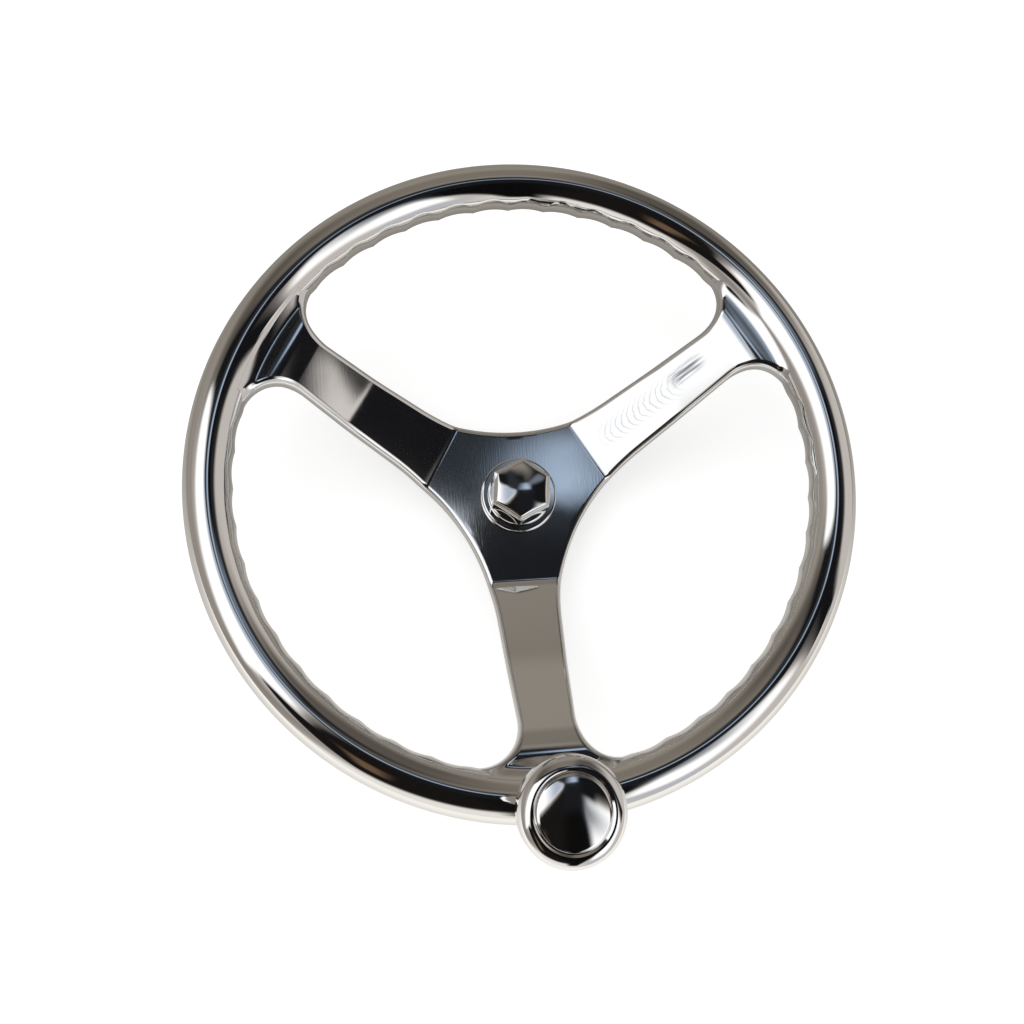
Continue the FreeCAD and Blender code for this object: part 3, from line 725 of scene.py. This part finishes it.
def grain_group():
    """Fine lines left by a polishing belt: noise drawn out along Y and Z."""
    group, entry, leave = new_group(
        "belt_grain",
        [("Place", "Vector", None), ("Lines per metre", "Float", 3000.0),
         ("Line length", "Float", 0.02)],
        [("Height", "Float")])
    along = maths(group, "DIVIDE", 1.0, entry.outputs["Line length"])
    stretch = add_node(group, "ShaderNodeCombineXYZ", {
        "X": entry.outputs["Lines per metre"], "Y": along, "Z": along})
    place = add_node(group, "ShaderNodeVectorMath", {
        0: entry.outputs["Place"], 1: stretch.outputs[0]}, operation="MULTIPLY")
    lines = noise(group, place.outputs[0], scale=1.0, detail=3.0, roughness=0.6)
    feed(group, leave, {"Height": lines})
    return group


def turning_group():
    """Fine rings of a turned surface: noise read from the radius and the height alone."""
    group, entry, leave = new_group(
        "turning_rings",
        [("Place", "Vector", None), ("Rings per metre", "Float", 2500.0)],
        [("Height", "Float")])
    split = add_node(group, "ShaderNodeSeparateXYZ", {0: entry.outputs["Place"]})
    flat = add_node(group, "ShaderNodeCombineXYZ", {"X": split.outputs[0], "Y": split.outputs[1]})
    radius = add_node(group, "ShaderNodeVectorMath", {0: flat.outputs[0]}, operation="LENGTH")
    line = add_node(group, "ShaderNodeCombineXYZ", {
        "X": radius.outputs["Value"], "Y": split.outputs[2]})
    rings = noise(group, line.outputs[0], entry.outputs["Rings per metre"], detail=2.0)
    feed(group, leave, {"Height": rings})
    return group


def chatter_and_painted_reflection_group():
    """Marks that the polishing wheel left along one arm, whose middle line is X: thin bowed
    ripples a few millimetres apart, which fade towards the arm's sides and ends, and a smear
    over their outer end, made of strands that run along the arm. Dark is painted reflection:
    how much the colour is darkened where the ripples and the smear show dark surroundings."""
    group, entry, leave = new_group(
        "chatter_marks_painted_dark", [("Place", "Vector", None), ("Spacing", "Float", ripple_spacing)],
        [("Dark", "Float")])
    place = entry.outputs["Place"]
    split = add_node(group, "ShaderNodeSeparateXYZ", {0: place})
    along, across = split.outputs[0], split.outputs[1]

    def window(value, middle, inner, outer):
        """1 within the inner distance of the middle, falling softly to 0 at the outer one."""
        away = maths(group, "ABSOLUTE", maths(group, "SUBTRACT", value, middle))
        return soft_step(group, away, outer, inner)

    square = maths(group, "MULTIPLY", across, across)
    bowed = maths(group, "MULTIPLY_ADD", square, -ripple_bow, along)
    rough = noise(group, place, scale=260.0, detail=3.0, roughness=0.6)
    bent = maths(group, "MULTIPLY_ADD", rough, ripple_wander, bowed)
    turns = maths(group, "DIVIDE", bent, entry.outputs["Spacing"])
    wave = maths(group, "SINE", maths(group, "MULTIPLY", turns, math.tau))
    crest = maths(group, "POWER", maths(group, "MAXIMUM", wave, 0.0), 2.0)
    field = maths(group, "MULTIPLY", window(along, *ripples_along), window(across, *ripples_across))
    ripples = maths(group, "MULTIPLY", crest, field)
    spot = maths(group, "MULTIPLY", window(along, *smear_along), window(across, *smear_across))
    drawn_out = add_node(group, "ShaderNodeVectorMath", {
        0: place, 1: strands_per_metre}, operation="MULTIPLY")
    strands = noise(group, drawn_out.outputs[0], scale=1.0, detail=2.0)
    smear = maths(group, "MULTIPLY", spot, soft_step(group, strands, *strands_between))
    # Painted dark reflection: the ripples and the smear darken the colour by this much.
    dark = maths(group, "MULTIPLY_ADD", ripples, ripple_painted_darkness, smear)
    feed(group, leave, {"Dark": dark})
    return group


# Marks on the right arm in metres, whose darkness is painted reflection: ripples a spacing
# apart, bowed by a multiple of the squared distance from its middle line. A window is its
# middle, its full reach and where it has faded. The smear's strands are counted a metre along
# the arm and across it.
marked_arm = math.radians(30)
ripple_spacing = 0.0034
ripple_bow = 90.0
ripple_wander = 0.003
ripple_painted_darkness = 0.35
ripples_along, ripples_across = (0.08, 0.014, 0.028), (0.001, 0.003, 0.01)
smear_along, smear_across = (0.109, 0.004, 0.011), (0.003, 0.0015, 0.0055)
strands_per_metre = (60.0, 700.0, 0.0)
strands_between = (0.3, 0.65)
# Colour of the painted dark reflection in the ripples and the smear.
painted_reflection_colour = (0.17, 0.18, 0.2, 1.0)

polish = polish_group()
grain = grain_group()
turning = turning_group()
chatter_and_painted_reflection = chatter_and_painted_reflection_group()


def place_group(tree, group, inputs):
    """The group as one node of a material."""
    return add_node(tree, "ShaderNodeGroup", inputs, node_tree=group)


def new_material(name):
    """Material with its tree, its Principled node and the place on the object, in metres."""
    material = bpy.data.materials.new(name)
    material.use_nodes = True
    tree = material.node_tree
    surface = tree.nodes["Principled BSDF"]
    place = add_node(tree, "ShaderNodeTexCoord").outputs["Object"]
    return material, tree, surface, place


def bump(tree, height, depth, onto=None):
    """Bump whose full height is the given depth in metres."""
    inputs = {"Height": height, "Distance": depth, "Strength": 1.0}
    if onto is not None:
        inputs["Normal"] = onto
    return add_node(tree, "ShaderNodeBump", inputs).outputs["Normal"]


def lathe_rings(tree, place, rings_per_metre):
    """Height of the fine rings of the lathe about the knob's axis."""
    centred = add_node(tree, "ShaderNodeMapping", {
        "Vector": place, "Location": (-knob_x * MM, -knob_y * MM, 0)})
    return place_group(tree, turning, {
        "Place": centred.outputs[0], "Rings per metre": rings_per_metre}).outputs["Height"]


def steel(name, colour, gloss, smear, wave_depth, waves):
    """Mirror-polished steel: gloss is its least roughness, smear how much the smears add, and
    the slow waves are given by their depth in metres and their number a metre."""
    material, tree, surface, place = new_material(name)
    polished = place_group(tree, polish, {"Place": place, "Waves per metre": waves,
                                          "Smear": smear, "Gloss": gloss})
    normal = bump(tree, polished.outputs["Height"], wave_depth)
    feed(tree, surface, {"Metallic": 1.0, "Base Color": (*colour, 1.0),
                         "Roughness": polished.outputs["Roughness"], "Normal": normal})
    return material, tree, surface, place, normal


def polished_rim():
    """Polished tube with long slow waves."""
    return steel("polished_rim", (0.86, 0.855, 0.845), gloss=0.02, smear=0.03,
                 wave_depth=0.00008, waves=26.0)[0]


def polished_fittings():
    """Polished nut, washer and collar, with short shallow waves."""
    return steel("polished_fittings", (0.86, 0.857, 0.85), gloss=0.03, smear=0.03,
                 wave_depth=0.00002, waves=60.0)[0]


def polished_knob():
    """Mirror-polished steel with the last fine rings of the lathe."""
    material, tree, surface, place, normal = steel(
        "polished_knob", (0.86, 0.86, 0.86), gloss=0.03, smear=0.03,
        wave_depth=0.00003, waves=40.0)
    ringed = bump(tree, lathe_rings(tree, place, 1800.0), depth=0.000002, onto=normal)
    feed(tree, surface, {"Normal": ringed})
    return material


def polished_spokes():
    """Polished casting. The belt's fine grain and its wider streaks run along Y; the streaks are
    plain round the hub and fade out along the arms. The right arm's front has ripples and a
    smear, with painted dark reflection in their colour."""
    colour = (0.85, 0.857, 0.865)
    material, tree, surface, place, normal = steel(
        "polished_spokes", colour, gloss=0.04, smear=0.04, wave_depth=0.00009, waves=30.0)
    lines = place_group(tree, grain, {
        "Place": place, "Lines per metre": 2600.0, "Line length": 0.03})
    grained = bump(tree, lines.outputs["Height"], depth=0.000002, onto=normal)
    streaks = place_group(tree, grain, {
        "Place": place, "Lines per metre": 1200.0, "Line length": 0.012})
    from_hub = add_node(tree, "ShaderNodeVectorMath", {0: place}, operation="LENGTH")
    near_hub = soft_step(tree, from_hub.outputs["Value"], 0.1, 0.045, 0.15, 1.0)
    faded = maths(tree, "MULTIPLY", streaks.outputs["Height"], near_hub)
    along_arm = add_node(tree, "ShaderNodeMapping", {
        "Vector": place, "Rotation": (0, 0, -marked_arm)})
    marks = place_group(tree, chatter_and_painted_reflection, {"Place": along_arm.outputs[0]})
    facing = add_node(tree, "ShaderNodeSeparateXYZ", {
        0: add_node(tree, "ShaderNodeTexCoord").outputs["Normal"]})
    upward = maths(tree, "GREATER_THAN", facing.outputs[2], 0.0)
    dark = maths(tree, "MULTIPLY", marks.outputs["Dark"], upward)
    # Base colour darkened towards the painted dark reflection on the right arm's front.
    feed(tree, surface, {"Normal": bump(tree, faded, depth=0.000009, onto=grained),
                         "Base Color": blend(tree, dark, (*colour, 1.0), painted_reflection_colour)})
    return material


def turned_steel(name, colour, rough):
    """Plain machined steel with lathe rings about the knob's axis."""
    material, tree, surface, place = new_material(name)
    height = lathe_rings(tree, place, 2500.0)
    darker = [0.85 * part for part in colour]
    feed(tree, surface, {"Metallic": 1.0,
                         "Base Color": blend(tree, height, (*darker, 1.0), (*colour, 1.0)),
                         "Roughness": maths(tree, "MULTIPLY_ADD", height, 0.1, rough),
                         "Normal": bump(tree, height, depth=0.00001)})
    return material


def black_rubber():
    """Moulded rubber, slightly dusty."""
    material, tree, surface, place = new_material("black_rubber")
    dust = noise(tree, place, scale=900.0, detail=4.0)
    clean, dusty = (0.015, 0.015, 0.015, 1), (0.045, 0.044, 0.043, 1)
    feed(tree, surface, {"Base Color": blend(tree, dust, clean, dusty),
                         "Roughness": maths(tree, "MULTIPLY_ADD", dust, 0.25, 0.45),
                         "Normal": bump(tree, dust, depth=0.00004)})
    return material


# Stage: places in metres, turns in degrees
camera_lens = 31.64
camera_place = (-0.0589, -0.107, 0.5221)
camera_turn = (11.458, -5.419, -4.129)
lamp_place = (-0.9, 0.5, 1.6)
lamp_turn = (-17, -29, 0)
lamp_sides = (1.6, 1.2)
lamp_power = 9.0
floor_half = 3.0
floor_in_front = (0.92, 0.89, 0.85, 1)
floor_behind = (0.23, 0.21, 0.185, 1)
steel_reflects = 0.86
studio_wall = (188, 182, 177)
white = (1, 1, 1, 1)

# Zones of the studio, each laid over those before it: the colour that the metal shows there, with
# parts from 0 to 255, and the zone's soft straight edges. An edge is a point on it, the angle
# towards the inside, and half the width of its soft band.
studio_zones = [
    # Darker wall to the left
    ((142, 136, 130), [
        (-1.05, 0, 180, 0.35)]),
    # Brown wall behind
    ((118, 111, 102), [
        (0, 0.4, 90, 0.25), (0.85, 0.5, 150, 0.4), (-1.05, 0.7, 15, 0.45)]),
    # Its paler foot
    ((138, 131, 121), [
        (0, 1.35, 90, 0.3), (0.7, 1.5, 150, 0.5), (-0.6, 1.5, 20, 0.4)]),
    # Darker left of that wall
    ((82, 77, 71), [
        (0, 0.5, 90, 0.15), (-0.3, 0.8, 190, 0.3), (-0.8, 0.8, 15, 0.3), (0, 1.3, -90, 0.4)]),
    # Darker right of that wall
    ((84, 79, 73), [
        (0.32, 0.9, -15, 0.15), (0, 0.6, 90, 0.15), (0.95, 0.9, 170, 0.25), (0, 1.5, -90, 0.3)]),
    # Brown wall low on the left
    ((120, 114, 108), [
        (-0.78, 0, 180, 0.15), (0, -0.6, -90, 0.3), (0, -1.3, 70, 0.3)]),
    # White wall in front
    ((226, 223, 218), [
        (0, -1.25, -90, 0.2), (0.25, -1.2, 180, 0.5)]),
    # Dark gap on the right
    ((36, 35, 36), [
        (0.13, 0.23, 70, 0.03), (0.13, 0.22, -20, 0.1), (0.5, 0.58, -120, 0.12),
        (0.74, 0.3, 190, 0.15)]),
    # Dark gap behind on the left
    ((22, 22, 23), [
        (-0.64, 0.39, 72, 0.03), (-0.3, 0.55, -105, 0.1), (-0.5, 0, 0, 0.15),
        (0.2, 0, 180, 0.08)]),
    # Black cloth on the left
    ((20, 19, 19), [
        (-0.77, 0, 0, 0.05), (0, -1.12, 90, 0.14), (0, -0.27, -90, 0.04), (-0.1, 0, 180, 0.1)]),
    # Black cloth near the middle
    ((22, 20, 19), [
        (0.13, 0.24, -45, 0.03), (0, -1.15, 90, 0.18), (-0.7, 0, 0, 0.1),
        (0.32, -0.6, 172, 0.05)]),
    # Blackest strip
    ((10, 10, 10), [
        (0.1, 0.24, -70, 0.04), (-0.02, -1, -4, 0.08), (0.32, -0.6, 174, 0.05),
        (0, -1.62, 90, 0.15)]),
    # Brown wisp
    ((100, 80, 62), [
        (-0.28, -0.5, 152, 0.04), (-0.4, -0.5, -28, 0.04), (-0.2, -0.35, -118, 0.08),
        (-0.45, -0.75, 62, 0.08)]),
    # Right soft box
    ((262, 262, 262), [
        (0.33, -0.4, 8, 0.05), (0.5, -0.12, -122, 0.05), (0.9, -0.31, -145, 0.04),
        (0.87, -0.6, 175, 0.2), (0.4, -1.05, 80, 0.25)]),
    # Its bluish corner
    ((98, 104, 112), [
        (0.26, -0.1, 12, 0.06), (0.5, -0.1, -122, 0.04), (0.44, -0.2, 215, 0.12),
        (0.3, -0.3, 80, 0.2)]),
    # Its bluish foot
    ((178, 182, 190), [
        (0.38, -1.2, 12, 0.08), (0, -1.15, -90, 0.15), (1.1, -1.2, 190, 0.15),
        (0, -1.6, 90, 0.2)]),
    # Black frame of the right box
    ((18, 18, 20), [
        (0.5, -0.09, 58, 0.05), (0.13, 0.24, -80, 0.03), (0.75, 0.045, -116, 0.06),
        (1.34, -0.3, 180, 0.03), (1.2, -0.5, 60, 0.12)]),
    # Light past its end
    ((206, 200, 194), [
        (1.23, 0, 0, 0.02), (1.28, -0.315, -135, 0.012), (1.5, 0, 180, 0.1), (0, -0.6, 90, 0.1)]),
    # Left soft box
    ((262, 262, 262), [
        (0.02, 0.215, 246, 0.025), (0.12, 0.24, 133, 0.02), (-0.6, -0.28, 111, 0.04),
        (-0.93, 0, -25, 0.15), (0.06, 0, 180, 0.05)]),
    # Its bluish tip
    ((168, 178, 194), [
        (0.02, 0.215, 246, 0.025), (0.12, 0.24, 133, 0.02), (-0.12, 0, 0, 0.09),
        (0.06, 0, 180, 0.05)]),
    # Black beside the camera
    ((24, 25, 28), [
        (0.06, 0.2, -10, 0.03), (0, 0.21, -90, 0.03), (0.26, 0.1, 180, 0.05), (0, -0.1, 90, 0.1)]),
    # Dark beside the camera
    ((40, 44, 49), [
        (0, 0.22, 72, 0.02), (0.1, 0.3, -150, 0.05), (-0.03, 0, 0, 0.04)]),
    # Bluish glass over the camera
    ((168, 186, 208), [
        (0.1, 0.205, 90, 0.015), (0.065, 0.24, -20, 0.02), (0.12, 0.24, -20, 0.06),
        (0.21, 0.25, 180, 0.03), (0, 0.275, -90, 0.02)]),
    # Its far corner
    ((104, 113, 124), [
        (0.17, 0.24, 108, 0.03), (0.17, 0.26, -48, 0.03), (0.42, 0.35, 215, 0.1),
        (0.2, 0.2, 20, 0.04)]),
]


def shown_as(colour):
    """Light that polished steel shows as this picture colour: its parts on the picture's tone
    curve, over the share that steel reflects."""
    light = [((part / 255 + 0.055) / 1.055) ** 2.4 / steel_reflects for part in colour]
    return (*light, 1.0)


def studio_world():
    """Studio seen by polished metal: soft boxes, dark gaps and warm walls, by direction.

    A direction is laid flat by looking up from below: twice its level part over one plus its
    upright part. The zenith is the middle and the horizon a circle of radius 2. Each zone is
    the part of that chart inside its edges."""
    world = bpy.data.worlds.new("studio")
    bpy.context.scene.world = world
    world.use_nodes = True
    tree = world.node_tree
    tree.nodes.clear()
    way = add_node(tree, "ShaderNodeTexCoord").outputs["Generated"]
    split = add_node(tree, "ShaderNodeSeparateXYZ", {0: way})
    under = maths(tree, "MAXIMUM", maths(tree, "ADD", split.outputs[2], 1.0), 0.1)
    right = maths(tree, "DIVIDE", maths(tree, "MULTIPLY", split.outputs[0], 2.0), under)
    ahead = maths(tree, "DIVIDE", maths(tree, "MULTIPLY", split.outputs[1], 2.0), under)

    def inside(x, y, degrees, softness):
        """1 on the side that the angle points to, from the line through (x, y), 0 beyond."""
        c, s = math.cos(math.radians(degrees)), math.sin(math.radians(degrees))
        along = maths(tree, "ADD", maths(tree, "MULTIPLY", right, c),
                      maths(tree, "MULTIPLY_ADD", ahead, s, -(x * c + y * s)))
        return soft_step(tree, along, -softness, softness)

    view = shown_as(studio_wall)
    for colour, edges in studio_zones:
        mask = inside(*edges[0])
        for edge in edges[1:]:
            mask = maths(tree, "MULTIPLY", mask, inside(*edge))
        view = blend(tree, mask, view, shown_as(colour))
    rays = add_node(tree, "ShaderNodeLightPath")
    mirrored = add_node(tree, "ShaderNodeBackground", {"Color": view, "Strength": 1.0})
    plain = add_node(tree, "ShaderNodeBackground", {"Color": white, "Strength": 0.75})
    seen = add_node(tree, "ShaderNodeBackground", {"Color": white, "Strength": 1.0})
    lit = add_node(tree, "ShaderNodeMixShader", {
        0: rays.outputs["Is Glossy Ray"], 1: plain.outputs[0], 2: mirrored.outputs[0]})
    shown = add_node(tree, "ShaderNodeMixShader", {
        0: rays.outputs["Is Camera Ray"], 1: lit.outputs[0], 2: seen.outputs[0]})
    add_node(tree, "ShaderNodeOutputWorld", {"Surface": shown.outputs[0]})


def floor():
    """Pale floor that keeps the wheel's soft shadow: white to the camera, and in the metal light
    in front and grey-brown behind."""
    material = bpy.data.materials.new("pale_floor")
    material.use_nodes = True
    tree = material.node_tree
    tree.nodes.clear()
    watched = add_node(tree, "ShaderNodeLightPath").outputs["Is Camera Ray"]
    place = add_node(tree, "ShaderNodeTexCoord").outputs["Object"]
    split = add_node(tree, "ShaderNodeSeparateXYZ", {0: place})
    behind = soft_step(tree, split.outputs[1], -0.45, 0.25)
    tone = blend(tree, behind, floor_in_front, floor_behind)
    matt = add_node(tree, "ShaderNodeBsdfDiffuse", {
        "Color": blend(tree, watched, tone, (0.62, 0.62, 0.62, 1))})
    glow = add_node(tree, "ShaderNodeEmission", {
        "Color": blend(tree, watched, tone, white),
        "Strength": maths(tree, "MULTIPLY_ADD", watched, 0.3, 0.25)})
    both = add_node(tree, "ShaderNodeAddShader", {0: matt.outputs[0], 1: glow.outputs[0]})
    add_node(tree, "ShaderNodeOutputMaterial", {"Surface": both.outputs[0]})
    corners = [(x * floor_half, y * floor_half, 0) for x, y in ((-1, -1), (1, -1), (1, 1), (-1, 1))]
    mesh = bpy.data.meshes.new("floor")
    mesh.from_pydata(corners, [], [(0, 1, 2, 3)])
    mesh.materials.append(material)
    ground = new_object("floor", mesh)


def camera_and_lamp():
    """The photograph's viewpoint, above the wheel and a little to its left and front."""
    lens = bpy.data.cameras.new("camera")
    lens.sensor_width = 36.0
    lens.lens = camera_lens
    lens.clip_start = 0.01
    camera = new_object("camera", lens)
    camera.location = camera_place
    camera.rotation_euler = Euler([math.radians(a) for a in camera_turn])
    bpy.context.scene.camera = camera
    light = bpy.data.lights.new("soft_box", "AREA")
    light.shape = "RECTANGLE"
    light.size, light.size_y = lamp_sides
    light.energy = lamp_power
    lamp = new_object("soft_box", light)
    lamp.location = lamp_place
    lamp.rotation_euler = Euler([math.radians(a) for a in lamp_turn])
    lamp.visible_glossy = False


def dress():
    """Adds the finished surfaces and gives every other solid its material."""
    rim_steel, fitting_steel = polished_rim(), polished_fittings()
    spoke_steel, knob_steel = polished_spokes(), polished_knob()
    add_piece("rim_tube", [(rim_surface(), True, True)], "wheel",
              "rim", rim_steel, sharp_angle=60)
    sheets = [(sheet, False, False) for sheet in spoke_sheets()]
    add_piece("spokes_and_hub", sheets + [(boss_surface(), True, False)], "wheel",
              "spoke_casting", spoke_steel)
    add_piece("washer", [(washer_surface(), True, True)], "wheel",
              "hub_washer", fitting_steel)
    add_piece("nut", [(nut_crown(), True, False), (nut_collar(), True, False)], "wheel",
              "hub_nut", fitting_steel)
    add_piece("collar", [(collar_surface(), True, True)], "wheel",
              "knob_base_collar", fitting_steel)
    add_piece("knob_body", [(shell_surface(), True, True)], "knob",
              "knob_shell", knob_steel)
    add_piece("knob_lid", [(cap_surface(), True, False)], "knob",
              "knob_cap", knob_steel)
    finishes = {
        "polished_fittings": fitting_steel,
        "turned_steel": turned_steel("turned_steel", (0.66, 0.66, 0.66), 0.22),
        "bearing_steel": turned_steel("bearing_steel", (0.72, 0.72, 0.73), 0.12),
        "cage_steel": turned_steel("cage_steel", (0.6, 0.6, 0.6), 0.3),
        "spring_steel": turned_steel("spring_steel", (0.4, 0.4, 0.42), 0.35),
        "black_rubber": black_rubber(),
    }
    for entry in frame["record"]["subparts"]:
        if entry["material_slot"] in finishes:
            mesh = frame["nodes"][entry["node"]].data
            mesh.materials.clear()
            mesh.materials.append(finishes[entry["material_slot"]])


dress()
floor()
studio_world()
camera_and_lamp()
bpy.context.scene.view_settings.view_transform = "Standard"
